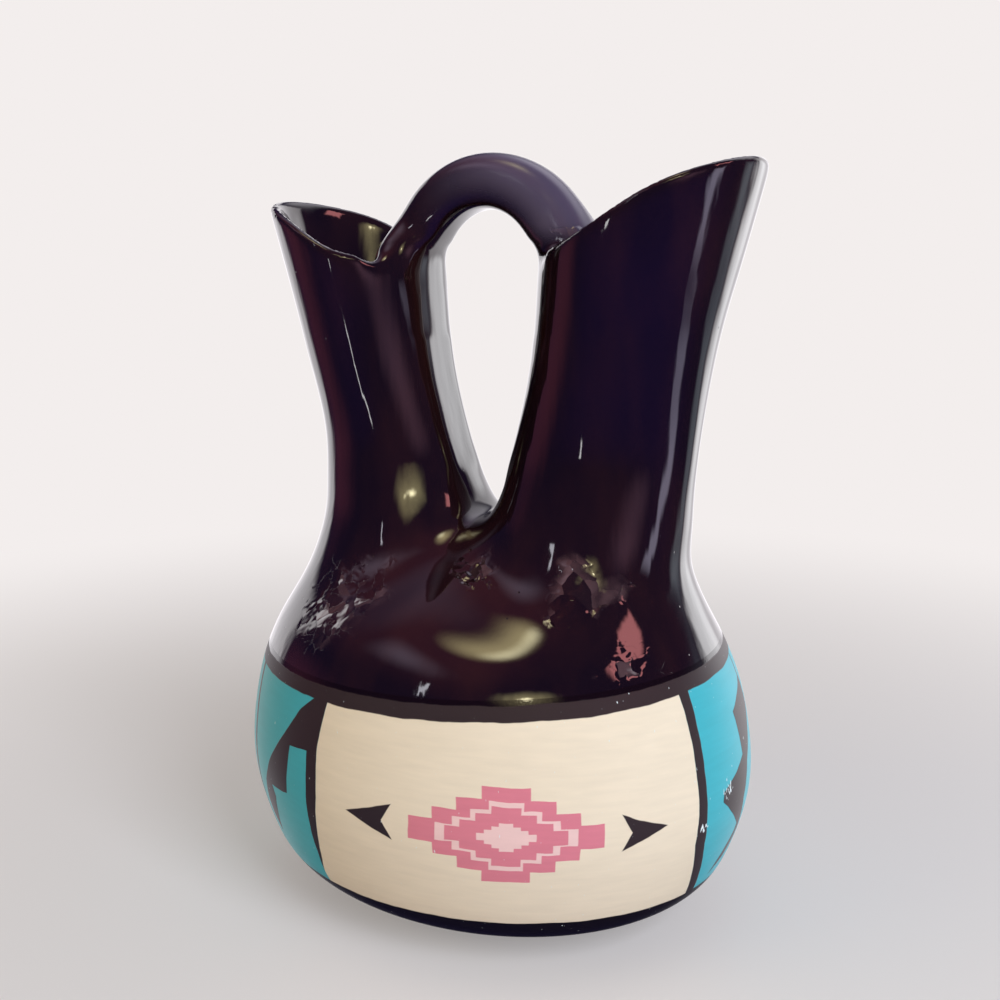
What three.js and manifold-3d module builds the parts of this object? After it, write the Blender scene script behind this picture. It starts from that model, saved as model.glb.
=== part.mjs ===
import * as THREE from 'three'
import { mergeVertices } from 'three/addons/utils/BufferGeometryUtils.js'
import Module from 'manifold-3d'

// Wedding vase of fired clay. Sizes in mm, the foot stands on z = 0,
// the two spouts lie along X and the vase is the same front and back.

// Foot and bowl. A reach is a half length along X, a rise is a height above the foot ring
const footHeight = 4
const footReach = 43.5
const footWidth = 8
const footEdge = 1.2
const ovalRatio = 0.82
const baseReach = 51.5
const turnRise = 6.6
const turnReach = 66.3
const lowBandRise = 15
const lowBandReach = 74.6
const bellyRise = 43
const bellyReach = 82
const upperBandRise = 66
const upperBandReach = 78.8
const bowlRise = 79
const bowlTopReach = 73.8
const bowlWall = 5
const bowlFloor = 6
const floorTurnWall = 9.5
const floorTurnRise = 16
const floorRound = 6

// Shoulder, a dome up to a waisted collar, then two spout roots. Rises are above the bowl
const shoulderRise = 17
const shoulderReach = 63.8
const collarRise = 23
const collarDepth = 32
const collarWaistRise = 29
const collarWaistDepth = 24
const sideClimb = 74
const frontClimb = 60
const waistClimb = 37
const waistLean = 0.6
const seamRise = 41
const saddleRise = 35.5
const saddleRound = 11
const saddlePull = 6
const shoulderWall = 4.6

// Spouts, the stations along them as rises above the seam where they are luted on
const lowRise = 18
const middleRise = 48
const topRise = 76
const mouthRise = 96
const spoutWall = 4.6
const lipWall = 3.8
const gapFlat = 6
const gapCorner = 4
const flatTaper = 0.6
const sideRun = 0.5
const spoutSplit = 0.44
const rimInnerShare = 0.33
const rimOuterShare = 0.7

// Half depth of both spouts, front to back, at the same stations
const seamDepth = 24
const lowDepth = 20
const middleDepth = 22.5
const topDepth = 27
const mouthDepth = 30

// Each spout is hand made, so left and right have their own reaches and rims
const leftSpout = {
  side: -1,
  outerSeam: 59.6,
  outerLow: 60.2,
  outerMiddle: 66.6,
  outerTop: 73.2,
  outerMouth: 78.6,
  gapSeam: 3.6,
  gapLow: 12,
  gapMiddle: 19.2,
  gapTop: 21.4,
  rimLow: 73.5,
  rimInner: 77,
  rimOuter: 87,
  rimTip: 93,
  rimTwist: 1.5
}
const rightSpout = {
  side: 1,
  outerSeam: 63.8,
  outerLow: 65.2,
  outerMiddle: 69.6,
  outerTop: 76.8,
  outerMouth: 82,
  gapSeam: 3.6,
  gapLow: 10.2,
  gapMiddle: 16.8,
  gapTop: 18.7,
  rimLow: 73.5,
  rimInner: 79,
  rimOuter: 91.3,
  rimTip: 98.5,
  rimTwist: 0
}

// Stirrup handle, a thick clay strap bent over the gap, its centre above the seam
const handleCentreX = -1.7
const handleCentreRise = 70.4
const handleInside = 17.3
const handleRootInside = 19.7
const handleCrown = 16.2
const handleLeftRoot = 15.6
const handleRightRoot = 19.2
const handleWidth = 16.5
const handleRootWidth = 22
const handleUnderSquare = 3.4
const handleOverSquare = 2.2
const handleRootShare = 0.6
const handleFootAngle = 2
const jointGap = 0.3

// Heights above the table
const bowlTopHeight = footHeight + bowlRise
const shoulderHeight = bowlTopHeight + shoulderRise
const collarHeight = bowlTopHeight + collarRise
const collarWaistHeight = bowlTopHeight + collarWaistRise
const saddleHeight = bowlTopHeight + saddleRise
const seamHeight = bowlTopHeight + seamRise

// Mesh density
const roundSteps = 9
const cornerSteps = 9
const flatSteps = 4
const halfSteps = roundSteps + cornerSteps + flatSteps
const spoutSteps = halfSteps * 2
const splitStep = 14
const ringSteps = splitStep * 4
const bowlRows = 13
const wallRows = 10
const rowCrowding = 1.35
const spoutRows = 16
const domeRows = 5
const rootRows = 5
const lipRows = 4
const handleSteps = 24
const handleRows = 34
const rimRounds = 6
const weldReach = 1e-4

const fullTurn = Math.PI * 2
const degree = Math.PI / 180

// Smooth curve through stations [height, value] without overshoot
function smoothThrough(stations) {
  const last = stations.length - 1
  const rise = (i) => (stations[i + 1][1] - stations[i][1]) / (stations[i + 1][0] - stations[i][0])
  const slopes = stations.map((station, i) => {
    if (i === 0) return rise(0)
    if (i === last) return rise(last - 1)
    const before = rise(i - 1)
    const after = rise(i)
    return before * after <= 0 ? 0 : 2 * before * after / (before + after)
  })
  return (height) => {
    let i = 0
    while (i < last - 1 && height > stations[i + 1][0]) i += 1
    const span = stations[i + 1][0] - stations[i][0]
    const t = Math.min(1, Math.max(0, (height - stations[i][0]) / span))
    const start = (1 + 2 * t) * (1 - t) ** 2 * stations[i][1]
    const startSlope = t * (1 - t) ** 2 * span * slopes[i]
    const end = t * t * (3 - 2 * t) * stations[i + 1][1]
    const endSlope = t * t * (t - 1) * span * slopes[i + 1]
    return start + startSlope + end + endSlope
  }
}

function mix(a, b, t) {
  return a + (b - a) * t
}

function easeBetween(low, high, value) {
  const t = Math.min(1, Math.max(0, (value - low) / (high - low)))
  return t * t * (3 - 2 * t)
}

function bezier(a, b, c, d, t) {
  const s = 1 - t
  return s * s * s * a + 3 * s * s * t * b + 3 * s * t * t * c + t * t * t * d
}

// Body of faces made from closed loops of points
function newBody() {
  return { points: [], faces: [] }
}

function addLoop(body, loop) {
  const first = body.points.length
  body.points.push(...loop)
  return { first, count: loop.length, centre: loopCentre(loop) }
}

function loopCentre(loop) {
  const sum = loop.reduce((total, point) => total.add(point), new THREE.Vector3())
  return sum.divideScalar(loop.length)
}

function bridge(body, a, b) {
  for (let i = 0; i < a.count; i += 1) {
    const next = (i + 1) % a.count
    body.faces.push([a.first + i, a.first + next, b.first + next])
    body.faces.push([a.first + i, b.first + next, b.first + i])
  }
}

function bridgeAll(body, loops) {
  const rings = loops.map((loop) => addLoop(body, loop))
  for (let i = 0; i + 1 < rings.length; i += 1) bridge(body, rings[i], rings[i + 1])
  return rings
}

function capLoop(body, ring, facesDown) {
  const middle = body.points.push(ring.centre) - 1
  for (let i = 0; i < ring.count; i += 1) {
    const a = ring.first + i
    const b = ring.first + (i + 1) % ring.count
    body.faces.push(facesDown ? [middle, b, a] : [middle, a, b])
  }
}

function toGeometry(body) {
  const raw = new THREE.BufferGeometry()
  const numbers = body.points.flatMap((p) => [p.x, p.y, p.z])
  raw.setAttribute('position', new THREE.Float32BufferAttribute(numbers, 3))
  raw.setIndex(body.faces.flat())
  const geometry = mergeVertices(raw, weldReach)
  geometry.computeVertexNormals()
  return geometry
}

// Oval ring seen from above, counter clockwise
function ovalLoop(reach, depth, height) {
  return Array.from({ length: ringSteps }, (unused, i) => {
    const angle = fullTurn * i / ringSteps
    return new THREE.Vector3(reach * Math.cos(angle), depth * Math.sin(angle), height)
  })
}

// Outer face of the bowl by height, it runs on into the shoulder
const bowlReach = smoothThrough([
  [footHeight, baseReach],
  [footHeight + turnRise, turnReach],
  [footHeight + lowBandRise, lowBandReach],
  [footHeight + bellyRise, bellyReach],
  [footHeight + upperBandRise, upperBandReach],
  [bowlTopHeight, bowlTopReach],
  [shoulderHeight, shoulderReach]
])
const bowlTopSlope = bowlReach(bowlTopHeight + 0.5) - bowlReach(bowlTopHeight - 0.5)

// Foot ring, turned down on the edge it stands on
function makeFootRing() {
  const body = newBody()
  const section = [
    [footEdge, 0],
    [0, footEdge],
    [0, footHeight],
    [footWidth, footHeight],
    [footWidth, footEdge],
    [footWidth - footEdge, 0]
  ]
  const loops = section.map(([inward, height]) => {
    return ovalLoop(footReach - inward, footReach * ovalRatio - inward, height)
  })
  const rings = bridgeAll(body, loops)
  bridge(body, rings[rings.length - 1], rings[0])
  return toGeometry(body)
}

function bowlLoop(height, wall) {
  const reach = bowlReach(height)
  return ovalLoop(reach - wall, reach * ovalRatio - wall, height)
}

// Bowl with the painted band, open at the top
function makeBowl() {
  const body = newBody()
  const floorHeight = footHeight + bowlFloor
  const loops = []
  for (let row = 0; row <= bowlRows; row += 1) {
    loops.push(bowlLoop(mix(footHeight, bowlTopHeight, (row / bowlRows) ** rowCrowding), 0))
  }
  for (let row = wallRows; row > 0; row -= 1) {
    const height = mix(floorHeight, bowlTopHeight, (row / wallRows) ** rowCrowding)
    const turn = easeBetween(floorHeight, floorHeight + floorTurnRise, height)
    loops.push(bowlLoop(height, mix(floorTurnWall, bowlWall, turn)))
  }
  loops.push(bowlLoop(floorHeight, floorTurnWall + floorRound))
  const rings = bridgeAll(body, loops)
  capLoop(body, rings[0], true)
  capLoop(body, rings[rings.length - 1], false)
  return toGeometry(body)
}

// Curves of one spout by height
function spoutCurves(spout) {
  return {
    outer: smoothThrough([
      [shoulderHeight, shoulderReach],
      [seamHeight, spout.outerSeam],
      [seamHeight + lowRise, spout.outerLow],
      [seamHeight + middleRise, spout.outerMiddle],
      [seamHeight + topRise, spout.outerTop],
      [seamHeight + mouthRise, spout.outerMouth]
    ]),
    gap: smoothThrough([
      [saddleHeight, 0],
      [seamHeight, spout.gapSeam],
      [seamHeight + lowRise, spout.gapLow],
      [seamHeight + middleRise, spout.gapMiddle],
      [seamHeight + topRise, spout.gapTop]
    ]),
    depth: smoothThrough([
      [seamHeight, seamDepth],
      [seamHeight + lowRise, lowDepth],
      [seamHeight + middleRise, middleDepth],
      [seamHeight + topRise, topDepth],
      [seamHeight + mouthRise, mouthDepth]
    ])
  }
}

// Point of a spout section: round outside, then a soft corner and a flat by the gap
function spoutPoint(spout, curves, step, height, inset) {
  const outer = curves.outer(height) - inset
  const gap = curves.gap(height) + inset
  const depth = curves.depth(height) - inset
  const flat = gapFlat - inset * flatTaper
  const centre = mix(gap, outer, spoutSplit)
  const half = Math.min(step, spoutSteps - step)
  let x = gap
  let y
  if (half <= roundSteps) {
    const angle = half / roundSteps * fullTurn / 4
    x = centre + (outer - centre) * Math.cos(angle)
    y = depth * Math.sin(angle)
  } else if (half <= roundSteps + cornerSteps) {
    const t = (half - roundSteps) / cornerSteps
    x = bezier(centre, centre - (centre - gap) * sideRun, gap, gap, t)
    y = bezier(depth, depth, flat + gapCorner, flat, t)
  } else {
    y = flat * (halfSteps - half) / flatSteps
  }
  const front = step > halfSteps ? -1 : 1
  return new THREE.Vector3(spout.side * x, spout.side * front * y, height)
}

// Height of the slanting rim, low at the handle and high at the pouring tip
function rimHeight(spout, curves, step) {
  const byShare = smoothThrough([
    [0, spout.rimLow],
    [rimInnerShare, spout.rimInner],
    [rimOuterShare, spout.rimOuter],
    [1, spout.rimTip]
  ])
  let height = seamHeight + spout.rimOuter
  for (let round = 0; round < rimRounds; round += 1) {
    const point = spoutPoint(spout, curves, step, height, 0)
    const gap = curves.gap(height)
    const share = (Math.abs(point.x) - gap) / (curves.outer(height) - gap)
    height = seamHeight + byShare(share) + spout.rimTwist * point.y / curves.depth(height)
  }
  return height
}

function spoutLoop(spout, curves, share, inset, drop) {
  return Array.from({ length: spoutSteps }, (unused, step) => {
    const top = rimHeight(spout, curves, step) - drop
    return spoutPoint(spout, curves, step, mix(seamHeight, top, share), inset)
  })
}

// Spout wall, from the seam up to a rounded lip and down the inside
function makeSpout(spout) {
  const body = newBody()
  const curves = spoutCurves(spout)
  const lipRadius = lipWall / 2
  const loops = []
  for (let row = 0; row <= spoutRows; row += 1) {
    loops.push(spoutLoop(spout, curves, row / spoutRows, 0, lipRadius))
  }
  for (let row = 1; row < lipRows; row += 1) {
    const turn = Math.PI * row / lipRows
    const inset = lipRadius - lipRadius * Math.cos(turn)
    loops.push(spoutLoop(spout, curves, 1, inset, lipRadius - lipRadius * Math.sin(turn)))
  }
  for (let row = spoutRows; row >= 0; row -= 1) {
    const share = row / spoutRows
    loops.push(spoutLoop(spout, curves, share, mix(spoutWall, lipWall, share), lipRadius))
  }
  const rings = bridgeAll(body, loops)
  bridge(body, rings[rings.length - 1], rings[0])
  return toGeometry(body)
}

// Solid shape of a spout, a little fat, that the handle ends are cut by
function makeSpoutCutter(spout) {
  const body = newBody()
  const curves = spoutCurves(spout)
  const loops = []
  for (let row = 0; row <= spoutRows; row += 1) {
    loops.push(spoutLoop(spout, curves, row / spoutRows, -jointGap, -jointGap))
  }
  const rings = bridgeAll(body, loops)
  capLoop(body, rings[0], true)
  capLoop(body, rings[rings.length - 1], false)
  return toGeometry(body)
}

// Wall point inside an outer face that climbs at an angle: how far in and how far down
function wallStep(inset, climb) {
  return { inward: inset * Math.sin(climb * degree), down: inset * Math.cos(climb * degree) }
}

// Point of the bowl's top ring in the first quarter, and the way up from it
function bowlTopPoint(half, inset) {
  const angle = half / splitStep * fullTurn / 4
  const x = (bowlTopReach - inset) * Math.cos(angle)
  const y = (bowlTopReach * ovalRatio - inset) * Math.sin(angle)
  const along = new THREE.Vector3(Math.cos(angle), ovalRatio * Math.sin(angle), 0)
  along.multiplyScalar(bowlTopSlope).setZ(1).normalize()
  return { point: new THREE.Vector3(x, y, bowlTopHeight), along }
}

// Point of the waisted collar that runs round both spout roots
function collarPoint(curves, half, inset) {
  const side = wallStep(inset, sideClimb)
  const front = wallStep(inset, frontClimb)
  const waist = wallStep(inset, waistClimb)
  const reach = curves.outer(collarHeight) - side.inward
  const depth = collarDepth - front.inward
  const centre = reach * spoutSplit
  if (half <= roundSteps) {
    const angle = half / roundSteps * fullTurn / 4
    const height = collarHeight - mix(side.down, front.down, easeBetween(0, roundSteps, half))
    return new THREE.Vector3(mix(centre, reach, Math.cos(angle)), depth * Math.sin(angle), height)
  }
  const t = (half - roundSteps) / (splitStep - roundSteps)
  const waistDepth = collarWaistDepth - waist.inward
  const height = mix(collarHeight - front.down, collarWaistHeight - waist.down, easeBetween(0, 1, t))
  return new THREE.Vector3(mix(centre, 0, t), bezier(depth, depth, waistDepth, waistDepth, t), height)
}

// Point of the saddle between the spouts, from the collar waist to the top
function saddlePoint(share, inset) {
  const waist = wallStep(inset, waistClimb)
  const pull = wallStep(saddlePull, waistClimb)
  const start = new THREE.Vector3(0, collarWaistDepth - waist.inward, collarWaistHeight - waist.down)
  const startPull = start.clone().add(new THREE.Vector3(0, -pull.down, pull.inward))
  const top = new THREE.Vector3(0, 0, saddleHeight - inset)
  const topPull = top.clone().setY(saddleRound)
  const curve = new THREE.CubicBezierCurve3(start, startPull, topPull, top)
  return { point: curve.getPoint(share), along: curve.getTangent(share) }
}

function curveBetween(start, startAlong, end, endAlong, t) {
  const reach = start.distanceTo(end)
  const point = start.clone().multiplyScalar((1 + 2 * t) * (1 - t) ** 2)
  point.addScaledVector(startAlong, t * (1 - t) ** 2 * reach)
  point.addScaledVector(end, t * t * (3 - 2 * t))
  return point.addScaledVector(endAlong, t * t * (t - 1) * reach)
}

// Way up through the collar, and the way into the root, that turns aside at the waist
function collarWays(curves, half, inset) {
  const nearby = 0.1
  const sideways = collarPoint(curves, half - nearby, inset)
  sideways.sub(collarPoint(curves, half + nearby, inset)).setZ(0).normalize()
  const toWaist = easeBetween(roundSteps - 2, splitStep, half)
  const toFront = Math.min(1, half / roundSteps)
  const climb = (mix(sideClimb, frontClimb, toFront) + (waistClimb - frontClimb) * toWaist) * degree
  const along = new THREE.Vector3(sideways.y, -sideways.x, 0).multiplyScalar(Math.cos(climb))
  along.z = Math.sin(climb)
  const rootAlong = along.clone().lerp(sideways, waistLean * toWaist).normalize()
  return { along, rootAlong }
}

// One rib of the shoulder in the first quarter, from the collar or saddle to the seam
function shoulderRib(spout, curves, half, inset) {
  const mirrored = { ...spout, side: 1 }
  const end = spoutPoint(mirrored, curves, half, seamHeight, inset)
  const endAlong = spoutPoint(mirrored, curves, half, seamHeight + 2, inset).sub(end).normalize()
  if (half <= splitStep) {
    const bowlTop = bowlTopPoint(half, inset)
    const collar = collarPoint(curves, half, inset)
    return { bowlTop, collar, ...collarWays(curves, half, inset), end, endAlong }
  }
  const share = (half - splitStep) / (halfSteps - splitStep)
  const saddle = saddlePoint(share, inset)
  const lean = mix(waistLean, 1, Math.min(1, share / (1 - waistLean)))
  const rootAlong = saddle.along.multiplyScalar(1 - lean).add(new THREE.Vector3(lean, 0, 0)).normalize()
  return { collar: saddle.point, rootAlong, end, endAlong }
}

// Whole loops of the dome, from the bowl's top ring up to the collar
function domeLoops(inset) {
  const quarters = [leftSpout, rightSpout].map((spout) => {
    const curves = spoutCurves(spout)
    return Array.from({ length: splitStep + 1 }, (unused, half) => shoulderRib(spout, curves, half, inset))
  })
  return Array.from({ length: domeRows + 1 }, (unused, row) => {
    return Array.from({ length: ringSteps }, (unusedToo, step) => {
      const quarter = Math.floor(step / splitStep)
      const within = step % splitStep
      const half = quarter % 2 === 0 ? within : splitStep - within
      const right = quarter === 0 || quarter === 3
      const rib = quarters[right ? 1 : 0][half]
      const point = curveBetween(rib.bowlTop.point, rib.bowlTop.along, rib.collar, rib.along, row / domeRows)
      return point.multiply(new THREE.Vector3(right ? 1 : -1, quarter < 2 ? 1 : -1, 1))
    })
  })
}

// Loops of one spout root, from the collar and the saddle up to the seam
function rootLoops(spout, inset) {
  const curves = spoutCurves(spout)
  return Array.from({ length: rootRows + 1 }, (unused, row) => {
    return Array.from({ length: spoutSteps }, (unusedToo, step) => {
      const half = Math.min(step, spoutSteps - step)
      const rib = shoulderRib(spout, curves, half, inset)
      const point = curveBetween(rib.collar, rib.rootAlong, rib.end, rib.endAlong, row / rootRows)
      const front = step > halfSteps ? -1 : 1
      return point.multiply(new THREE.Vector3(spout.side, spout.side * front, 1))
    })
  })
}

// Shoulder: one dome that opens into the two spouts
function makeShoulder() {
  const body = newBody()
  const outer = bridgeAll(body, domeLoops(0))
  const inner = bridgeAll(body, domeLoops(shoulderWall).reverse())
  bridge(body, inner[domeRows], outer[0])
  for (const spout of [leftSpout, rightSpout]) {
    const root = bridgeAll(body, rootLoops(spout, 0))
    const inside = bridgeAll(body, rootLoops(spout, shoulderWall).reverse())
    bridge(body, root[rootRows], inside[0])
  }
  return toGeometry(body)
}

// Handle section, a squarish oval, flatter on the underside
function handleLoop(angle) {
  const above = Math.max(0, Math.sin(angle))
  const toCrown = easeBetween(0, handleRootShare, above)
  const root = Math.cos(angle) < 0 ? handleLeftRoot : handleRightRoot
  const thickness = mix(root, handleCrown, above)
  const inside = mix(handleRootInside, handleInside, toCrown)
  const width = mix(handleRootWidth, handleWidth, toCrown)
  const outward = new THREE.Vector3(Math.cos(angle), 0, Math.sin(angle))
  const centre = outward.clone().multiplyScalar(inside + thickness / 2)
  centre.add(new THREE.Vector3(handleCentreX, 0, seamHeight + handleCentreRise))
  return Array.from({ length: handleSteps }, (unused, i) => {
    const turn = fullTurn * i / handleSteps
    const c = Math.cos(turn)
    const s = Math.sin(turn)
    const power = 2 / (c < 0 ? handleUnderSquare : handleOverSquare)
    const radial = thickness / 2 * Math.sign(c) * Math.abs(c) ** power
    const sideways = width / 2 * Math.sign(s) * Math.abs(s) ** power
    return centre.clone().addScaledVector(outward, radial).add(new THREE.Vector3(0, sideways, 0))
  })
}

// Handle strap, its ends cut to lie against both spouts
async function makeHandle() {
  const body = newBody()
  const first = -handleFootAngle * degree
  const last = Math.PI + handleFootAngle * degree
  const loops = []
  for (let row = 0; row <= handleRows; row += 1) {
    loops.push(handleLoop(mix(first, last, row / handleRows)))
  }
  const rings = bridgeAll(body, loops)
  capLoop(body, rings[0], true)
  capLoop(body, rings[rings.length - 1], false)
  return cutBy(toGeometry(body), [makeSpoutCutter(leftSpout), makeSpoutCutter(rightSpout)])
}

// Cuts one closed body by others and keeps its largest piece
async function cutBy(geometry, cutters) {
  const kernel = await Module()
  kernel.setup()
  const toSolid = (source) => {
    const plain = new THREE.BufferGeometry()
    plain.setAttribute('position', source.getAttribute('position'))
    plain.setIndex(source.getIndex())
    const welded = mergeVertices(plain, weldReach)
    return new kernel.Manifold(new kernel.Mesh({
      numProp: 3,
      vertProperties: new Float32Array(welded.getAttribute('position').array),
      triVerts: new Uint32Array(welded.getIndex().array)
    }))
  }
  let solid = toSolid(geometry)
  for (const cutter of cutters) solid = solid.subtract(toSolid(cutter))
  const pieces = solid.decompose()
  pieces.sort((a, b) => b.volume() - a.volume())
  const mesh = pieces[0].getMesh()
  const result = new THREE.BufferGeometry()
  const positions = []
  for (let i = 0; i < mesh.vertProperties.length; i += mesh.numProp) {
    positions.push(...mesh.vertProperties.slice(i, i + 3))
  }
  result.setAttribute('position', new THREE.Float32BufferAttribute(positions, 3))
  result.setIndex(Array.from(mesh.triVerts))
  result.computeVertexNormals()
  return result
}

function glazed(color, roughness) {
  return new THREE.MeshStandardMaterial({ color, roughness, metalness: 0 })
}

function named(name, geometry, material) {
  const mesh = new THREE.Mesh(geometry, material)
  mesh.name = name
  return mesh
}

const group = new THREE.Group()
group.name = 'wedding_vase'
group.add(named('foot_ring', makeFootRing(), glazed(0x2a2224, 0.7)))
group.add(named('bowl', makeBowl(), glazed(0xe6d8b8, 0.65)))
group.add(named('shoulder', makeShoulder(), glazed(0x1c1417, 0.12)))
group.add(named('left_spout', makeSpout(leftSpout), glazed(0x1d1519, 0.12)))
group.add(named('right_spout', makeSpout(rightSpout), glazed(0x1e151a, 0.12)))
group.add(named('stirrup_handle', await makeHandle(), glazed(0x1f161b, 0.12)))

export default group
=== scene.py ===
import math
import bpy
import bmesh
from mathutils import Matrix, Vector
from mathutils.bvhtree import BVHTree


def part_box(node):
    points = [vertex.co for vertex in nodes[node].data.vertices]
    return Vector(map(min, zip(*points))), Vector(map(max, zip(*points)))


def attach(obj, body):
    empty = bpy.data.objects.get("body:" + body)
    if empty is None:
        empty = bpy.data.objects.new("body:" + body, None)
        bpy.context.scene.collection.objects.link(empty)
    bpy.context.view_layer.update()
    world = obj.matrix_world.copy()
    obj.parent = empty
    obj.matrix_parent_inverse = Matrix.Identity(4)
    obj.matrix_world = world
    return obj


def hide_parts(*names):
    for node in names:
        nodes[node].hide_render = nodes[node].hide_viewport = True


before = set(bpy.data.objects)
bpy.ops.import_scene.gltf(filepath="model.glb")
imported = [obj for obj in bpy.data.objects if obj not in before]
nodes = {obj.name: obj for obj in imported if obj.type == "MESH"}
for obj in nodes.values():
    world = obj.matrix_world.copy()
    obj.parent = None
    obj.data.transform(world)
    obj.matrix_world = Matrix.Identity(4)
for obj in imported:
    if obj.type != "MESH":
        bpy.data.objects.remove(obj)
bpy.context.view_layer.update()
scene = bpy.context.scene
mm = 0.001
print("frame loaded")


# Camera at the photograph's place: 36 mm sensor, distances in mm, angles in degrees
camera = {
    "lens": 41.4,
    "distance": 350.4,
    "height": 188.3,
    "azimuth": 29.55,
    "yaw": 0.30,
    "pitch": 10.38,
    "roll": 0.16,
}


def makeCamera():
    data = bpy.data.cameras.new("photoCamera")
    data.lens = camera["lens"]
    data.sensor_width = 36
    data.clip_start = 0.01
    eye = bpy.data.objects.new("photoCamera", data)
    turn = math.radians(camera["azimuth"])
    place = Vector((math.sin(turn), -math.cos(turn), 0)) * camera["distance"]
    place.z = camera["height"]
    heading = Matrix.Rotation(math.radians(camera["azimuth"] - camera["yaw"]), 4, "Z")
    tilt = Matrix.Rotation(math.radians(90 - camera["pitch"]), 4, "X")
    roll = Matrix.Rotation(math.radians(-camera["roll"]), 4, "Z")
    eye.matrix_world = Matrix.Translation(place * mm) @ heading @ tilt @ roll
    scene.collection.objects.link(eye)
    scene.camera = eye


makeCamera()


# The first output that a node has switched on
def outputOf(node):
    return next(socket for socket in node.outputs if socket.enabled)


# A node with its settings and its links or values; a node given as a value stands for its output
def addNode(tree, kind, inputs=None, **settings):
    node = tree.nodes.new("ShaderNode" + kind)
    for name, value in settings.items():
        setattr(node, name, value)
    for key, value in (inputs or {}).items():
        if isinstance(value, bpy.types.Node):
            value = outputOf(value)
        if isinstance(value, bpy.types.NodeSocket):
            tree.links.new(value, node.inputs[key])
        else:
            node.inputs[key].default_value = value
    return node


# sRGB hex to the linear colour that a shader takes
def colour(hexText):
    channels = []
    for i in (0, 2, 4):
        c = int(hexText[i:i + 2], 16) / 255
        channels.append(c / 12.92 if c <= 0.04045 else ((c + 0.055) / 1.055) ** 2.4)
    return (*channels, 1)


def linkObject(mesh, name):
    piece = bpy.data.objects.new(name, mesh)
    scene.collection.objects.link(piece)
    return piece


def meshFrom(bm, name):
    mesh = bpy.data.meshes.new(name)
    bm.to_mesh(mesh)
    bm.free()
    mesh.shade_smooth()
    return mesh


# The mesh that an object's modifiers give
def finished(piece, name):
    bpy.context.view_layer.update()
    evaluated = piece.evaluated_get(bpy.context.evaluated_depsgraph_get())
    mesh = bpy.data.meshes.new_from_object(evaluated)
    mesh.name = name
    bpy.data.objects.remove(piece)
    return mesh


# Thrown and built body: the luted walls welded to one skin and smoothed between their rings
body = {
    "parts": ("bowl", "shoulder", "left_spout", "right_spout"),
    "weld": 0.02 * mm,
    "wallStep": 0.6 * mm,     # the bowl's and the shoulder's walls differ by less than this
    "smoothLevels": 2,
}


def makeBodySkin():
    bm = bmesh.new()
    for name in body["parts"]:
        bm.from_mesh(nodes[name].data)
    bmesh.ops.remove_doubles(bm, verts=bm.verts, dist=body["weld"])
    seams = [corner[2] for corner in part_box("shoulder")]
    for seam in seams:
        ring = [v for v in bm.verts if abs(v.co.z - seam) < body["weld"]]
        bmesh.ops.remove_doubles(bm, verts=ring, dist=body["wallStep"])
        inside = [f for f in bm.faces if all(abs(v.co.z - seam) < body["weld"] for v in f.verts)]
        bmesh.ops.delete(bm, geom=inside, context="FACES_ONLY")
    bmesh.ops.delete(bm, geom=[e for e in bm.edges if not e.link_faces], context="EDGES")
    bmesh.ops.join_triangles(
        bm, faces=bm.faces, angle_face_threshold=math.radians(60),
        angle_shape_threshold=math.pi, topology_influence=1.5)
    piece = linkObject(meshFrom(bm, "bodySkin"), "bodySkin")
    smooth = piece.modifiers.new("smooth", "SUBSURF")
    smooth.levels = body["smoothLevels"]
    smooth.render_levels = body["smoothLevels"]
    return finished(piece, "bodySkin")


# Stirrup handle: a pulled strap bent over the gap, its ends pressed down inside both mouths, mm
strap = {
    "centre": (-1.7, 194.4),
    "inside": 17.3,
    "rootInside": 19.7,
    "crown": 16.2,
    "leftRoot": 15.6,
    "rightRoot": 19.2,
    "width": 16.5,
    "leftRootWidth": 30,
    "rightRootWidth": 22,
    "leftKeystone": 0.34,     # how much wider a root is on its outer side than over the gap
    "rightKeystone": 0.12,
    "underSquare": 3.4,
    "overSquare": 2.2,
    "rootShare": 0.6,
    "around": 32,
    "along": 40,
    "tail": 15,               # how far an end reaches down the inside of its spout
    "tailSteps": 6,
    "tailThick": 4.4,
    "tailWidth": 15,
}


def ease(low, high, value):
    t = min(1, max(0, (value - low) / (high - low)))
    return t * t * (3 - 2 * t)


def mix(a, b, t):
    return a + (b - a) * t


# Places a ring of the strap: a squarish oval, flatter on the underside
def placeStrapRing(ring, centre, outward, thick, width, keystone):
    for i, vert in enumerate(ring):
        turn = math.tau * i / len(ring)
        c, s = math.cos(turn), math.sin(turn)
        power = 2 / (strap["underSquare"] if c < 0 else strap["overSquare"])
        radial = thick / 2 * math.copysign(abs(c) ** power, c)
        sideways = width / 2 * math.copysign(abs(s) ** power, s) * (1 + keystone * c)
        vert.co = (centre + outward * radial + Vector((0, sideways, 0))) * mm


def strapStation(angle):
    above = max(0, math.sin(angle))
    toCrown = ease(0, strap["rootShare"], above)
    side = "left" if math.cos(angle) < 0 else "right"
    thick = mix(strap[side + "Root"], strap["crown"], above)
    inside = mix(strap["rootInside"], strap["inside"], toCrown)
    width = mix(strap[side + "RootWidth"], strap["width"], toCrown)
    keystone = mix(strap[side + "Keystone"], 0, toCrown)
    outward = Vector((math.cos(angle), 0, math.sin(angle)))
    middle = Vector((strap["centre"][0], 0, strap["centre"][1]))
    return middle + outward * (inside + thick / 2), outward, thick, width, keystone


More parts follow.
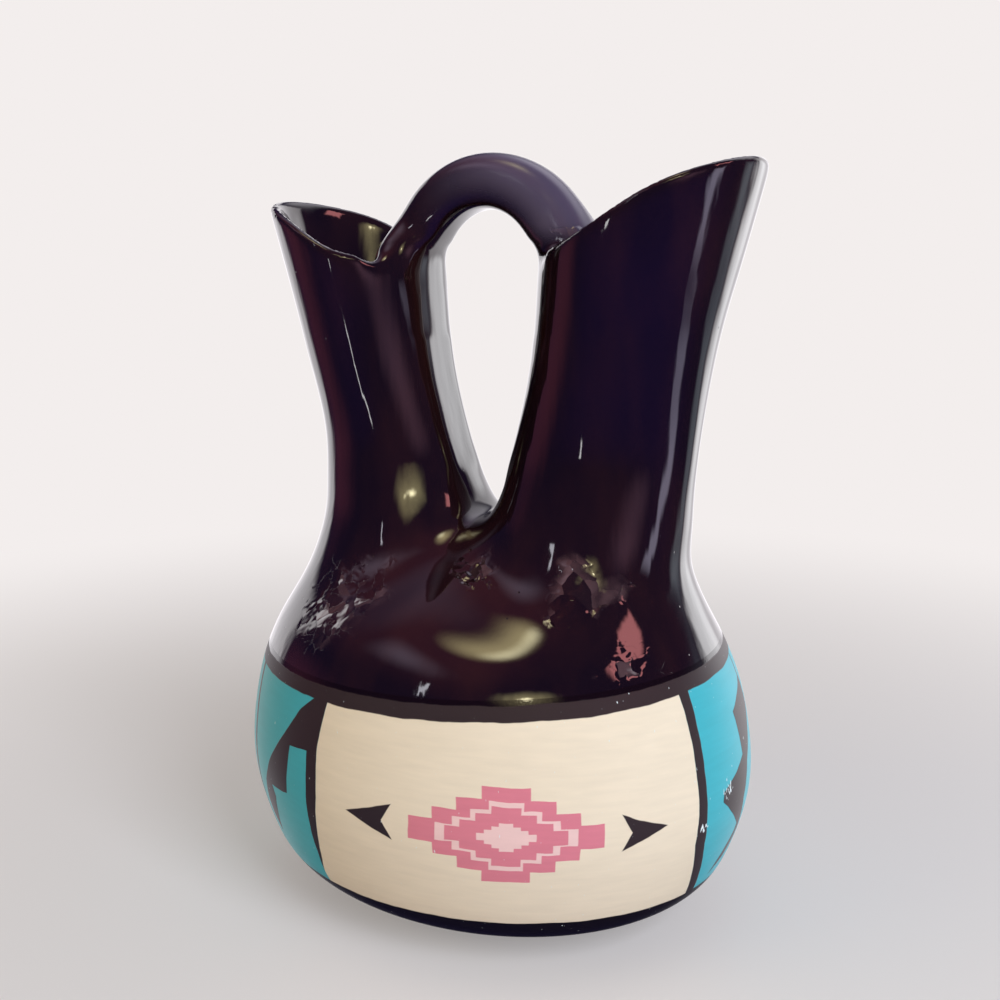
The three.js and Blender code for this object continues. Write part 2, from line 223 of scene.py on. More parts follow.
# A tail station runs down the spout wall and thins until it lies in the wall
def tailStation(side, share):
    angle = 0 if side > 0 else math.pi
    centre, outward, thick, width, keystone = strapStation(angle)
    thin = mix(thick, strap["tailThick"], ease(0, 1, share))
    inner = centre - outward * (thick / 2)
    centre = inner + outward * (thin / 2) - Vector((0, 0, strap["tail"] * share))
    return centre, outward, thin, mix(width, strap["tailWidth"], share), keystone


def makeStrap():
    stations = [tailStation(1, 1 - i / strap["tailSteps"]) for i in range(strap["tailSteps"])]
    stations += [strapStation(math.pi * i / strap["along"]) for i in range(strap["along"] + 1)]
    stations += [tailStation(-1, (i + 1) / strap["tailSteps"]) for i in range(strap["tailSteps"])]
    bm = bmesh.new()
    ring = bmesh.ops.create_circle(bm, segments=strap["around"], radius=mm, cap_ends=True)["verts"]
    placeStrapRing(ring, *stations[0])
    for station in stations[1:]:
        edges = [e for e in bm.edges if e.verts[0] in ring and e.verts[1] in ring]
        new = bmesh.ops.extrude_edge_only(bm, edges=edges)["geom"]
        fresh = set(v for v in new if isinstance(v, bmesh.types.BMVert))
        pairs = {v: e.other_vert(v) for v in ring for e in v.link_edges if e.other_vert(v) in fresh}
        ring = [pairs[v] for v in ring]
        placeStrapRing(ring, *station)
    bmesh.ops.contextual_create(bm, geom=[e for e in bm.edges if len(e.link_faces) == 1])
    bmesh.ops.recalc_face_normals(bm, faces=bm.faces)
    return meshFrom(bm, "strapSkin")


# Clay: body and strap become one skin, whose joints are then smeared over with a wet finger
clay = {
    "voxel": 1.15 * mm,
    "settle": 3,              # light smoothing of the whole skin
    "jointFrom": 165 * mm,    # the strap's joints lie above this
    "jointReach": 8 * mm,
    "jointRounds": 30,
    "saddle": (0, 0, 121),    # between the spouts, wiped round with a thumb, mm
    "saddleReach": (22, 44, 22),
    "saddleRounds": 120,
}


def smoothPoints(bm, points, rounds):
    for _ in range(rounds):
        bmesh.ops.smooth_vert(
            bm, verts=points, factor=0.5, use_axis_x=True, use_axis_y=True, use_axis_z=True)


# The true skins as one object, for the clay to take its surface and its shading from
def joinSkins(skins):
    bm = bmesh.new()
    for skin in skins:
        bm.from_mesh(skin)
    return linkObject(meshFrom(bm, "trueSkin"), "trueSkin")


def takeShading(piece, source, group=None):
    shading = piece.modifiers.new("shading", "DATA_TRANSFER")
    shading.object = source
    shading.use_loop_data = True
    shading.data_types_loops = {"CUSTOM_NORMAL"}
    shading.loop_mapping = "POLYINTERP_NEAREST"
    if group:
        shading.vertex_group = group


def makeClay():
    skins = [makeBodySkin(), makeStrap()]
    print("body skin and strap ready")
    trees = []
    for skin in skins:
        part = bmesh.new()
        part.from_mesh(skin)
        trees.append(BVHTree.FromBMesh(part))
        part.free()
    trueSkin = joinSkins(skins)
    piece = linkObject(trueSkin.data.copy(), "clay")
    remesh = piece.modifiers.new("oneSkin", "REMESH")
    remesh.mode = "VOXEL"
    remesh.voxel_size = clay["voxel"]
    bm = bmesh.new()
    bm.from_mesh(finished(piece, "clay"))
    smoothPoints(bm, bm.verts, clay["settle"])
    reach = clay["jointReach"]
    atJoint = {}
    atSaddle = {}
    for v in bm.verts:
        if v.co.z > clay["jointFrom"]:
            far = max(tree.find_nearest(v.co)[3] for tree in trees)
            if far < reach:
                atJoint[v] = 1 - far / reach
        offset = v.co / mm - Vector(clay["saddle"])
        away = Vector(offset[i] / clay["saddleReach"][i] for i in range(3)).length
        if away < 1:
            atSaddle[v] = 1 - away
    for closeness, rounds in ((atJoint, clay["jointRounds"]), (atSaddle, clay["saddleRounds"])):
        for i in range(rounds):
            smoothPoints(bm, [v for v, close in closeness.items() if close > 0.6 * i / rounds], 1)
    bm.verts.index_update()
    loose = {v.index: 1 - ease(0, 0.4, close) for v, close in (*atJoint.items(), *atSaddle.items())}
    print("clay joined", len(bm.faces), "faces,", len(loose), "points at the joints")
    piece = linkObject(meshFrom(bm, "clay"), "clay")
    group = piece.vertex_groups.new(name="true")
    group.add(range(len(piece.data.vertices)), 1.0, "REPLACE")
    for index, weight in loose.items():
        group.add([index], weight, "REPLACE")
    settle = piece.modifiers.new("settle", "SHRINKWRAP")
    settle.target = trueSkin
    settle.wrap_method = "NEAREST_SURFACEPOINT"
    settle.vertex_group = "true"
    takeShading(piece, trueSkin, "true")
    mesh = finished(piece, "clay")
    bpy.data.objects.remove(trueSkin)
    return mesh


# The one skin is then parted where the potter's pieces meet: at the painted edge, at the luting seam
# under the spouts, and across each root of the strap. Heights and places in mm
partings = {
    "paintEdge": {
        "through": (0, 0, 84.4), "facing": (-0.035, -0.061, 1), "side": (-100, 100), "above": 60},
    "lutingSeam": {"through": (0, 0, 124), "facing": (0, 0, 1), "side": (-100, 100), "above": 118},
    "leftRoot": {"through": (-22, 0, 200.2), "facing": (0.25, 0, 1), "side": (-44, -5), "above": 190},
    "rightRoot": {"through": (22, 0, 200.2), "facing": (-0.28, 0, 1), "side": (5, 45), "above": 190},
}


def partSkin(bm):
    cuts = {}
    for cut in partings.values():
        low, high = cut["side"]
        near = [f for f in bm.faces
                if all(low < v.co.x / mm < high and v.co.z / mm > cut["above"] for v in f.verts)]
        edges = dict.fromkeys(e for f in near for e in f.edges)
        verts = dict.fromkeys(v for f in near for v in f.verts)
        made = bmesh.ops.bisect_plane(
            bm, geom=[*near, *edges, *verts], dist=1e-7,
            plane_co=Vector(cut["through"]) * mm, plane_no=cut["facing"])["geom_cut"]
        cuts.update(dict.fromkeys(e for e in made if isinstance(e, bmesh.types.BMEdge)))
    bmesh.ops.split_edges(bm, edges=list(cuts))


# The height of a parted skin's middle tells which piece it is, mm
middles = {
    "handleAbove": 205,
    "bowlBelow": 70,
    "shoulderBelow": 122,
}


def nameOfPiece(middle):
    height = middle.z / mm
    if height > middles["handleAbove"]:
        return "stirrup_handle"
    if height < middles["bowlBelow"]:
        return "bowl"
    if height < middles["shoulderBelow"]:
        return "shoulder"
    return "left_spout" if middle.x < 0 else "right_spout"


# The connected skins of a mesh, gathered by the piece that they belong to, as sets of face numbers
def skinsByPiece(bm):
    bm.faces.ensure_lookup_table()
    bm.faces.index_update()
    waiting = dict.fromkeys(bm.faces)
    skins = {}
    while waiting:
        front = [waiting.popitem()[0]]
        island = set()
        while front:
            face = front.pop()
            island.add(face.index)
            for edge in face.edges:
                for other in edge.link_faces:
                    if other in waiting:
                        del waiting[other]
                        front.append(other)
        middle = sum((bm.faces[i].calc_center_median() for i in island), Vector()) / len(island)
        skins.setdefault(nameOfPiece(middle), set()).update(island)
    return dict(sorted(skins.items()))


# Open rims of a mesh, each as a list of edges, with the middle of each
def openRims(bm):
    waiting = dict.fromkeys(e for e in bm.edges if len(e.link_faces) == 1)
    rims = []
    while waiting:
        front = [waiting.popitem()[0]]
        rim = []
        while front:
            edge = front.pop()
            rim.append(edge)
            for vert in edge.verts:
                for other in vert.link_edges:
                    if other in waiting:
                        del waiting[other]
                        front.append(other)
        middle = sum((v.co for e in rim for v in e.verts), Vector()) / (2 * len(rim))
        rims.append((middle, rim))
    return rims


# Two rims whose middles lie this close are the outer and the inner rim of one wall
wallRims = 8 * mm


# An outer and an inner rim get a wall's thickness between them, a lone rim is filled
def closeRims(bm):
    rims = openRims(bm)
    while rims:
        middle, rim = rims.pop()
        pair = next((other for other in rims if (other[0] - middle).length < wallRims), None)
        if pair:
            rims.remove(pair)
            bmesh.ops.bridge_loops(bm, edges=rim + pair[1])
        else:
            bmesh.ops.contextual_create(bm, geom=rim)
    bmesh.ops.recalc_face_normals(bm, faces=bm.faces)


def makePieces():
    whole = linkObject(makeClay(), "wholeClay")
    bm = bmesh.new()
    bm.from_mesh(whole.data)
    partSkin(bm)
    pieces = {}
    for name, skin in skinsByPiece(bm).items():
        part = bm.copy()
        bmesh.ops.delete(part, geom=[f for f in part.faces if f.index not in skin], context="FACES")
        closeRims(part)
        piece = linkObject(meshFrom(part, name), name + "_clay")
        takeShading(piece, whole)
        piece = linkObject(finished(piece, name), name + "_clay")
        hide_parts(name)
        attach(piece, "root")
        pieces[name] = piece
        print(name, len(piece.data.polygons), "faces")
    bm.free()
    bpy.data.objects.remove(whole)
    return pieces


pieces = makePieces()


# Foot ring, turned: a plain oval band with worn lower edges, mm
foot = {
    "outer": (43.5, 35.67),
    "inner": (35.5, 27.67),
    "height": 4,
    "around": 160,
    "wornEdge": 1.1,
}


def makeFoot():
    bm = bmesh.new()
    ring = bmesh.ops.create_circle(bm, segments=foot["around"], radius=1)["verts"]
    turns = [math.atan2(v.co.y, v.co.x) for v in ring]

    def place(verts, half, height):
        for vert, turn in zip(verts, turns):
            vert.co = Vector((half[0] * math.cos(turn), half[1] * math.sin(turn), height)) * mm

    place(ring, foot["outer"], foot["height"])
    first = list(bm.edges)
    edges = first
    for half, height in ((foot["outer"], 0), (foot["inner"], 0), (foot["inner"], foot["height"])):
        made = bmesh.ops.extrude_edge_only(bm, edges=edges)["geom"]
        fresh = {v for v in made if isinstance(v, bmesh.types.BMVert)}
        ring = [next(e.other_vert(v) for e in v.link_edges if e.other_vert(v) in fresh) for v in ring]
        place(ring, half, height)
        edges = [e for e in made
                 if isinstance(e, bmesh.types.BMEdge) and all(v in fresh for v in e.verts)]
    bmesh.ops.bridge_loops(bm, edges=first + edges)
    bmesh.ops.recalc_face_normals(bm, faces=bm.faces)
    low = [e for e in bm.edges if all(v.co.z < 1e-6 for v in e.verts) and e.calc_face_angle(0) > 1]
    bmesh.ops.bevel(
        bm, geom=low, offset=foot["wornEdge"] * mm, affect="EDGES", segments=4, profile=0.5, material=-1)
    return meshFrom(bm, "foot")


footRing = linkObject(makeFoot(), "foot_ring_clay")
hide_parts("foot_ring")
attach(footRing, "root")
print("foot made")


def newMaterial(name):
    material = bpy.data.materials.new(name)
    material.use_nodes = True
    return material, material.node_tree, material.node_tree.nodes["Principled BSDF"]


def placeInMm(tree):
    at = addNode(tree, "TexCoord").outputs["Object"]
    return addNode(tree, "VectorMath", {0: at, 1: (1000, 1000, 1000)}, operation="MULTIPLY")


# Height of a place, in mm, above a plane given by its height at the axis and its rise along x and y
def heightOver(tree, place, plane):
    level, alongX, alongY = plane
    upright = (-alongX, -alongY, 1)
    rise = addNode(tree, "VectorMath", {0: place, 1: upright}, operation="DOT_PRODUCT").outputs["Value"]
    return addNode(tree, "Math", {0: rise, 1: level}, operation="SUBTRACT")


# 1 where a value in mm is above 0, 0 where it is below, with a soft edge this wide
def coverOf(tree, value, soft=0.25):
    steep = 1 / soft
    return addNode(tree, "Math", {0: value, 1: steep, 2: 0.5}, operation="MULTIPLY_ADD", use_clamp=True)


# A brush's path: the angle round the vase, in degrees, at each height in mm
def brushPath(tree, height, points):
    share = addNode(tree, "Math", {0: height, 1: 0.01}, operation="MULTIPLY")
    path = addNode(tree, "FloatCurve", {"Factor": 1.0, "Value": share})
    curve = path.mapping.curves[0]
    while len(curve.points) < len(points):
        curve.points.new(0.5, 0.5)
    for point, (z, angle) in zip(curve.points, sorted(points)):
        point.location = (z / 100, (angle + 180) / 360)
        point.handle_type = "VECTOR"
    path.mapping.update()
    return addNode(tree, "Math", {0: path, 1: 360, 2: -180}, operation="MULTIPLY_ADD")


# How far inside a stroke between two paths a point is, in mm
def insideStroke(tree, around, low, high, degree):
    fromLow = addNode(tree, "Math", {0: around, 1: low}, operation="SUBTRACT")
    toHigh = addNode(tree, "Math", {0: high, 1: around}, operation="SUBTRACT")
    nearer = addNode(tree, "Math", {0: fromLow, 1: toHigh}, operation="MINIMUM")
    return addNode(tree, "Math", {0: nearer, 1: degree}, operation="MULTIPLY")


# One colour, and another over it where the mask is 1
def stepTo(tree, mask, colourIn, colourOver):
    return addNode(tree, "Mix", {0: mask, 6: colourIn, 7: colourOver}, data_type="RGBA")


# Black gloss glaze, dipped: near-black and breaking brown where thin, mirror-like over a slow waviness,
# with finger marks where the pieces were luted and a few pinholes. Some facets of the marks are tinted
# pale mauve as painted reflection, and the strap's top takes a paler painted sheen
glaze = {
    "deep": "12070b",
    "thin": "24100f",
    "roughness": 0.045,
    "haze": 0.22,             # extra roughness where hands have rubbed the strap's outer side
    # paler tint on the strap's top: painted sheen, standing in for the grey reflection there
    "sheenTint": "4e4458",
    "rubAndSheenAlong": (-26, 12),    # mm, where the rubbing and the painted sheen set in along x
    "rubAndSheenAbove": (199, 207),   # up z
    "rubAndSheenOut": (18, 27),       # and out from the middle of the strap's bend
    "ior": 1.8,
    "cloud": 14,              # mm, slow colour change
    "streakWide": 5,          # mm, fettling strokes that run up the spouts
    "streakLong": 80,
    "streakDepth": 0.18,
    "steep": (0.25, 0.7),     # up-facing share of the normal over which the strokes fade
    "peel": 1.4,              # mm, fine orange peel
    "peelDepth": 0.003,
    "pinholes": 9,            # mm between them
    "pinholeSize": 0.35,
    "pinholeDepth": 0.12,
    "shard": 4.2,             # mm, size of a facet in the finger marks, where the skin was pinched over
    "shardDepth": 1.2,
    "shardLean": (0.5, 0.5, 0.9),
    # pale mauve on some facets of the finger marks: painted reflection, the broken highlights over them
    "shardGlintTint": "5e4648",
    "tintShare": 0.9,
    "ragged": 26,             # mm that the marks' outlines wander
    # where the finger marks are and how far each reaches, mm
    "crumples": (((-29, -40, 97), 18), ((10, -28, 110), 8), ((42, -29, 106), 12), ((59, -31, 88), 9),
                 ((27, -9, 203), 5), ((30, 36, 101), 17), ((-58, 29, 92), 11)),
    "dent": (-18, -20, 127),  # a shallow thumb mark on the left spout
    "dentReach": 10,
    "dentDepth": 0.22,
}


# 1 where hands have rubbed the strap, which is also where it is tinted paler as painted sheen
def rubbedAndSheenShare(tree, place):
    axes = addNode(tree, "SeparateXYZ", {0: place})
    flat = addNode(tree, "VectorMath", {0: place, 1: (1, 0, 1)}, operation="MULTIPLY")
    bend = (strap["centre"][0], 0, strap["centre"][1])
    radius = addNode(tree, "VectorMath", {0: flat, 1: bend}, operation="DISTANCE").outputs["Value"]
    spans = ((axes.outputs["X"], glaze["rubAndSheenAlong"]), (axes.outputs["Z"], glaze["rubAndSheenAbove"]),
             (radius, glaze["rubAndSheenOut"]))
    rubAndSheen = 1.0
    for value, (low, high) in spans:
        share = addNode(tree, "MapRange", {"Value": value, "From Min": low, "From Max": high},
                        interpolation_type="SMOOTHSTEP")
        rubAndSheen = addNode(tree, "Math", {0: rubAndSheen, 1: share}, operation="MULTIPLY")
    return rubAndSheen


# 1 inside the finger marks, whose outlines follow this bending noise
def markedShare(tree, place, bent):
    wander = glaze["ragged"]
    ragged = addNode(tree, "VectorMath", {0: bent, 1: (wander,) * 3, 2: place}, operation="MULTIPLY_ADD")
    marked = 0.0
    for centre, reach in glaze["crumples"]:
        about = tuple(c + wander / 2 for c in centre)
        away = addNode(tree, "VectorMath", {0: ragged, 1: about}, operation="DISTANCE").outputs["Value"]
        near = addNode(tree, "MapRange", {"Value": away, "From Min": reach, "From Max": reach * 0.35},
                       interpolation_type="SMOOTHSTEP")
        marked = addNode(tree, "Math", {0: marked, 1: near}, operation="MAXIMUM")
    return marked


def makeGlaze(name, haze):
    material, tree, shader = newMaterial(name)
    place = placeInMm(tree)
    run = addNode(tree, "VectorMath", {0: place, 1: (1, 1, 0.25)}, operation="MULTIPLY")
    cloud = addNode(tree, "TexNoise", {"Vector": run, "Scale": 1 / glaze["cloud"], "Detail": 3.0})
    thin = addNode(tree, "MapRange", {"Value": cloud, "From Min": 0.4, "From Max": 0.8})
    tint = stepTo(tree, thin, colour(glaze["deep"]), colour(glaze["thin"]))
    shader.inputs["Roughness"].default_value = glaze["roughness"]
    if haze:
        # The strap's top is tinted paler as painted sheen, and its glaze is rougher where it was rubbed
        rubAndSheen = rubbedAndSheenShare(tree, place)
        tint = stepTo(tree, rubAndSheen, tint, colour(glaze["sheenTint"]))
        rough = addNode(tree, "Math", {0: rubAndSheen, 1: haze, 2: glaze["roughness"]}, operation="MULTIPLY_ADD")
        tree.links.new(rough.outputs[0], shader.inputs["Roughness"])

    wide, long = glaze["streakWide"], glaze["streakLong"]
    stretch = (1 / wide, 1 / wide, 1 / long)
    strokes = addNode(tree, "VectorMath", {0: place, 1: stretch}, operation="MULTIPLY")
    streak = addNode(tree, "TexNoise", {"Vector": strokes, "Scale": 1.0, "Detail": 1.5})
    normal = addNode(tree, "NewGeometry").outputs["Normal"]
    facing = addNode(tree, "SeparateXYZ", {0: normal}).outputs["Z"]
    upFacing = addNode(tree, "Math", {0: facing}, operation="ABSOLUTE")
    low, high = glaze["steep"]
    steep = addNode(tree, "MapRange", {
        "Value": upFacing, "From Min": low, "From Max": high, "To Min": 1.0, "To Max": 0.0})
    strokeHeight = addNode(tree, "Math", {0: streak, 1: steep}, operation="MULTIPLY")
    bump = addNode(tree, "Bump", {"Distance": glaze["streakDepth"] * mm, "Height": strokeHeight})
    peel = addNode(tree, "TexNoise", {"Vector": place, "Scale": 1 / glaze["peel"], "Detail": 1.0})
    bump = addNode(tree, "Bump", {"Distance": glaze["peelDepth"] * mm, "Height": peel, "Normal": bump})

    shard = glaze["shard"]
    bending = addNode(tree, "TexNoise", {"Vector": place, "Scale": 0.5 / shard, "Detail": 2.0})
    bent = bending.outputs["Color"]
    marked = markedShare(tree, place, bent)
    scaled = addNode(tree, "VectorMath", {0: place, 1: (1 / shard,) * 3}, operation="MULTIPLY")
    warped = addNode(tree, "VectorMath", {0: bent, 1: (2, 2, 2), 2: scaled}, operation="MULTIPLY_ADD")
    shards = addNode(tree, "TexVoronoi", {"Vector": warped, "Scale": 1.0})
    middle, chances = shards.outputs["Position"], shards.outputs["Color"]
    offset = addNode(tree, "VectorMath", {0: warped, 1: middle}, operation="SUBTRACT")
    leaning = addNode(tree, "VectorMath", {0: chances, 1: glaze["shardLean"]}, operation="SUBTRACT")
    facet = addNode(tree, "VectorMath", {0: offset, 1: leaning}, operation="DOT_PRODUCT")
    crumple = addNode(tree, "Math", {0: facet.outputs["Value"], 1: marked}, operation="MULTIPLY")
    depth = glaze["shardDepth"] * mm
    bump = addNode(tree, "Bump", {"Distance": depth, "Height": crumple, "Normal": bump})
    # Painted reflection: some facets in the finger marks are tinted pale mauve, as the broken highlights
    # over the pinched glaze
    chance = addNode(tree, "SeparateXYZ", {0: chances}).outputs["X"]
    glintChance = addNode(tree, "MapRange", {"Value": chance, "From Min": 0.4, "To Max": glaze["tintShare"]})
    paintedGlint = addNode(tree, "Math", {0: marked, 1: glintChance}, operation="MULTIPLY")
    tint = stepTo(tree, paintedGlint, tint, colour(glaze["shardGlintTint"]))

    dented = addNode(tree, "VectorMath", {0: place, 1: glaze["dent"]}, operation="DISTANCE")
    rise = addNode(tree, "MapRange", {"Value": dented.outputs["Value"], "From Max": glaze["dentReach"]},
                   interpolation_type="SMOOTHSTEP")
    bump = addNode(tree, "Bump", {"Distance": glaze["dentDepth"] * mm, "Height": rise, "Normal": bump})
    apart = glaze["pinholes"]
    holes = addNode(tree, "TexVoronoi", {"Vector": place, "Scale": 1 / apart}).outputs["Distance"]
    hole = addNode(tree, "MapRange", {"Value": holes, "From Max": glaze["pinholeSize"] / apart},
                   interpolation_type="SMOOTHSTEP")
    depth = glaze["pinholeDepth"] * mm
    bump = addNode(tree, "Bump", {"Distance": depth, "Height": hole, "Normal": bump})
    tree.links.new(outputOf(tint), shader.inputs["Base Color"])
    tree.links.new(bump.outputs[0], shader.inputs["Normal"])
    shader.inputs["IOR"].default_value = glaze["ior"]
    return material


# Painted band: matt underglaze colours on bisque, brushed by hand between black lines.
# Heights in mm, angles in degrees round the vase; the back repeats the front, turned half a turn
band = {
    "ovalRatio": 0.82,
    "start": -108.8,
    "degree": 1.38,           # mm of wall for each degree
    "glazeEdge": (83.0, 0.035, 0.061),
    "lineEdge": (79.0, 0.035, 0.061),
    "baseEdge": (18.6, 0.020, 0.009),
    "creamLeft": ((0, -111.2), (17, -109.6), (31, -107), (47, -105.5), (62, -105.7), (74, -104.5),
                  (100, -102)),
    "creamRight": ((0, -12.5), (20, -16.3), (38, -19.8), (53, -19.9), (67, -20.4), (80, -21.1),
                   (100, -22)),
    "lineRight": ((0, -8), (20, -13), (37, -16.3), (53, -17.1), (66, -17.6), (80, -17.7), (100, -17.8)),
    "slant": ((0, 48), (44, 44.1), (74, 40.3), (100, 37)),
    "slantHalf": 1.0,         # degrees
    "boltLeft": ((0, -9), (22, -9), (30, -3), (33.5, 0.2), (35.6, 0.5), (47.4, -10.6), (50, -10.3),
                 (56.7, 1.5), (67.7, -0.4), (69.9, -0.9), (76, 12), (100, 12)),
    "boltRight": ((0, -11), (21.5, -11), (26, -2), (30, 2.5), (33, 4), (43, 2.6), (53.1, 5.3),
                  (60.1, 9.7), (66.9, 14.8), (76, 13), (100, 11.8)),
    "hookLeft": ((0, 54), (25, 53), (30, 50.5), (35, 50), (41.9, 51.6), (49.7, 55.3), (56.6, 59),
                 (63.4, 63.3), (70.2, 67.2), (74.5, 71.2), (100, 80)),
    "hookRight": ((0, 52), (25, 53), (38.8, 57.1), (42.2, 55.9), (43.2, 63.6), (58.6, 64.9),
                  (59.4, 71.6), (100, 71.6)),
    "cream": "ebdbc2",
    "turquoise": "3fb0bd",
    "pink": "dc7f8e",
    "pale": "f0c9c4",
    "black": "35292a",
    # black of the band under the cream, darker than the lines' black: painted shade under the belly
    "baseBlackShaded": "140e0f",
    "scuffs": (((80, -9.5, 50), 4.5), ((77.4, -20.4, 42.6), 2.2)),
    "scuff": "e4eeee",
    "scuffFrom": 0.82,        # the higher, the fewer flecks
    "scuffGain": 0.3,
    "wander": 0.5,            # mm that a brushed edge strays
    "wanderLength": 9,
    "bristleLong": 12,        # mm, along a brush's stroke
    "bristleWide": 1.6,
    "bristleShade": (0.965, 1.025),
    "tooth": 0.7,             # mm, grain of the bisque
    "toothDepth": 0.012,
    "layerDepth": 0.06,       # the black paint stands this proud
    "roughness": 0.5,
}

# Stepped lozenge in the middle of each cream panel, with an arrowhead at either side, mm
lozenge = {
    "middle": -63,            # degrees
    "height": 47,
    "half": (27, 13.5),
    "steps": 4,
    "lineFrom": 0.62,
    "lineTo": 0.72,
    "heart": 0.30,
    "arrowFrom": 32,
    "arrowTo": 47,
    "arrowHalf": 5.2,
    "arrowNotch": 3.2,
}


# Cover of a stepped lozenge of this share of the full size, from the distances to its middle
def steppedCover(tree, sideways, upward, share):
    halfWide, halfHigh = (half * share for half in lozenge["half"])
    stepHigh = halfHigh / lozenge["steps"]
    stepWide = halfWide / lozenge["steps"]
    steps = addNode(tree, "Math", {0: upward, 1: 1 / stepHigh}, operation="MULTIPLY")
    level = addNode(tree, "Math", {0: steps}, operation="FLOOR")
    reach = addNode(tree, "Math", {0: level, 1: -stepWide, 2: halfWide}, operation="MULTIPLY_ADD")
    inside = addNode(tree, "Math", {0: reach, 1: sideways}, operation="SUBTRACT")
    return addNode(tree, "Math", {0: inside, 1: 4.0}, operation="MULTIPLY", use_clamp=True)


# Covers of the pink, of its pale inner parts and of the arrowheads
def lozengeCovers(tree, around, height):
    fromMiddle = addNode(tree, "Math", {0: around, 1: lozenge["middle"]}, operation="SUBTRACT")
    degrees = addNode(tree, "Math", {0: fromMiddle}, operation="ABSOLUTE")
    sideways = addNode(tree, "Math", {0: degrees, 1: band["degree"]}, operation="MULTIPLY")
    fromHeight = addNode(tree, "Math", {0: height, 1: lozenge["height"]}, operation="SUBTRACT")
    upward = addNode(tree, "Math", {0: fromHeight}, operation="ABSOLUTE")
    pink = steppedCover(tree, sideways, upward, 1)
    lineOut = steppedCover(tree, sideways, upward, lozenge["lineTo"])
    lineIn = steppedCover(tree, sideways, upward, lozenge["lineFrom"])
    line = addNode(tree, "Math", {0: lineOut, 1: lineIn}, operation="SUBTRACT")
    heart = steppedCover(tree, sideways, upward, lozenge["heart"])
    pale = addNode(tree, "Math", {0: line, 1: heart}, operation="MAXIMUM")

    tail, tip, half, notch = (lozenge["arrow" + part] for part in ("From", "To", "Half", "Notch"))
    slope = half / (tip - tail)
    flank = addNode(tree, "Math", {0: sideways, 1: -slope, 2: slope * tip}, operation="MULTIPLY_ADD")
    inFlank = addNode(tree, "Math", {0: flank, 1: upward}, operation="SUBTRACT")
    barb = addNode(
        tree, "Math", {0: upward, 1: -notch / half, 2: notch + tail}, operation="MULTIPLY_ADD")
    inBarb = addNode(tree, "Math", {0: sideways, 1: barb}, operation="SUBTRACT")
    arrows = coverOf(tree, addNode(tree, "Math", {0: inFlank, 1: inBarb}, operation="MINIMUM"))
    return pink, pale, arrows


# The paint with its bristle marks and its scuffs
def brushedAndWorn(tree, place, paint):
    long, wide = band["bristleLong"], band["bristleWide"]
    stretch = (1 / long, 1 / long, 1 / wide)
    brushed = addNode(tree, "VectorMath", {0: place, 1: stretch}, operation="MULTIPLY")
    bristles = addNode(tree, "TexNoise", {"Vector": brushed, "Scale": 1.0, "Detail": 4.0})
    darker, lighter = band["bristleShade"]
    shade = addNode(tree, "MapRange", {
        "Value": bristles, "From Min": 0.3, "From Max": 0.7, "To Min": darker, "To Max": lighter})
    paint = addNode(tree, "VectorMath", {0: paint, 1: shade}, operation="MULTIPLY")
    scratched = addNode(tree, "VectorMath", {0: place, 1: (1.5, 1.5, 0.6)}, operation="MULTIPLY")
    flecks = addNode(tree, "TexNoise", {"Vector": scratched, "Scale": 1.0, "Detail": 1.0})
    for centre, reach in band["scuffs"]:
        away = addNode(tree, "VectorMath", {0: place, 1: centre}, operation="DISTANCE").outputs["Value"]
        near = addNode(tree, "MapRange", {"Value": away, "From Min": reach, "To Max": band["scuffGain"]})
        level = addNode(tree, "Math", {0: flecks, 1: near}, operation="ADD")
        over = addNode(tree, "Math", {0: level, 1: band["scuffFrom"]}, operation="SUBTRACT")
        paint = stepTo(tree, coverOf(tree, over, 0.1), paint, colour(band["scuff"]))
    return paint


